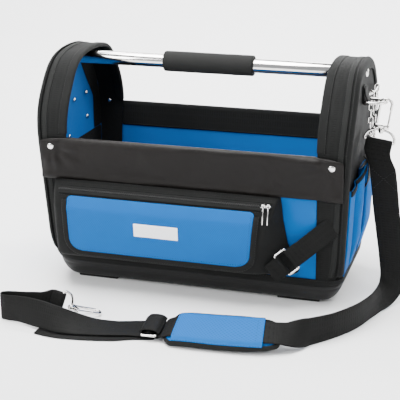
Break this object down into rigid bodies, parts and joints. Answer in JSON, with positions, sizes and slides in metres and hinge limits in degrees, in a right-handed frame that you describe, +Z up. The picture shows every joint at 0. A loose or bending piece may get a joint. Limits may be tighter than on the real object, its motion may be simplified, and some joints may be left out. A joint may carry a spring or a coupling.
{
  "type": "tool bag",
  "caption": "Open soft tool tote on a moulded tray, with a tube handle, a flap pocket, end pockets and a shoulder strap lying in front.",
  "frame": {"origin": "centre of the tray pad on the floor, under the middle of the bag", "axes": "+X along the bag to the end where the strap is clipped, -Y out of the front pocket, +Z up"},
  "size_m": [0.5393, 0.4267, 0.3406],
  "materials": {
    "blue_cloth": "woven polyester cloth, matt",
    "black_cloth": "ribbed woven cloth and binding, matt",
    "collar_cloth": "smooth coated cloth, satin",
    "webbing": "woven webbing, matt",
    "tray": "moulded, matt",
    "foam": "closed-cell foam, matt",
    "chrome": "bright plated steel",
    "white_label": "blank woven patch, smooth"
  },
  "bodies": {
    "bag": {"base_tray": "tray", "front_panel": "blue_cloth", "back_panel": "blue_cloth", "lower_binding": "black_cloth", "front_collar": "collar_cloth", "back_top_band": "black_cloth", "end_panel_left": "blue_cloth", "band_left": "black_cloth", "outer_binding_left": "black_cloth", "edge_tape_left": "black_cloth", "end_panel_right": "blue_cloth", "band_right": "black_cloth", "outer_binding_right": "black_cloth", "edge_tape_right": "black_cloth", "front_pocket": "black_cloth", "pocket_flap": "blue_cloth", "flap_binding": "black_cloth", "label_patch": "white_label", "zip_tape": "black_cloth", "zip_slider_a": "chrome", "zip_slider_b": "chrome", "side_strap": "webbing", "side_ring": "chrome", "side_tab": "webbing", "end_pockets_left": "blue_cloth", "mouth_tape_left": "black_cloth", "side_loop_left": "webbing", "tube_screw_left": "chrome", "ring_tab_left": "webbing", "bag_ring_left": "chrome", "collar_rivet_left": "chrome", "end_pockets_right": "blue_cloth", "mouth_tape_right": "black_cloth", "side_loop_right": "webbing", "tube_screw_right": "chrome", "ring_tab_right": "webbing", "bag_ring_right": "chrome", "collar_rivet_right": "chrome", "end_rivet_1": "chrome", "end_rivet_2": "chrome", "end_rivet_3": "chrome", "end_rivet_4": "chrome", "band_rivet": "chrome", "handle_tube": "chrome", "foam_grip": "foam", "tape_chain": "chrome", "chain_hanger": "chrome", "swivel_eye_clipped": "chrome", "snap_hook_clipped": "chrome", "swivel_eye_free": "chrome", "shoulder_strap": "webbing", "strap_tail": "webbing", "strap_slider": "chrome", "strap_pad": "black_cloth", "pad_sleeve": "blue_cloth"},
    "free_hook": {"snap_hook_free": "chrome"},
    "free_gate": {"hook_gate_free": "chrome"},
    "clipped_gate": {"hook_gate_clipped": "chrome"},
    "zip_pull_a": {"zip_pull_a": "chrome"},
    "zip_pull_b": {"zip_pull_b": "chrome"}
  },
  "joints": [
    {"name": "free_hook_swivel", "type": "hinge", "parent": "bag", "child": "free_hook", "pos_m": [-0.1431, -0.24911, 0.02337], "axis": [0.6881, 0.6417, -0.3387], "continuous": true},
    {"name": "free_gate_hinge", "type": "hinge", "parent": "free_hook", "child": "free_gate", "pos_m": [-0.12182, -0.2402, 0.01558], "axis": [0.2477, 0.231, 0.9409], "range_deg": [0, 25], "stiffness_Nm_per_rad": 0.02, "springref_deg": -11.46},
    {"name": "clipped_gate_hinge", "type": "hinge", "parent": "bag", "child": "clipped_gate", "pos_m": [0.26271, -0.024, 0.25067], "axis": [0, -1, 0], "range_deg": [0, 25], "stiffness_Nm_per_rad": 0.02, "springref_deg": -11.46},
    {"name": "zip_pull_a_hinge", "type": "hinge", "parent": "bag", "child": "zip_pull_a", "pos_m": [0.11404, -0.13923, 0.15765], "axis": [-1, 0, 0], "range_deg": [0, 110]},
    {"name": "zip_pull_b_hinge", "type": "hinge", "parent": "bag", "child": "zip_pull_b", "pos_m": [0.12104, -0.13923, 0.15765], "axis": [-1, 0, 0], "range_deg": [0, 110]}
  ]
}
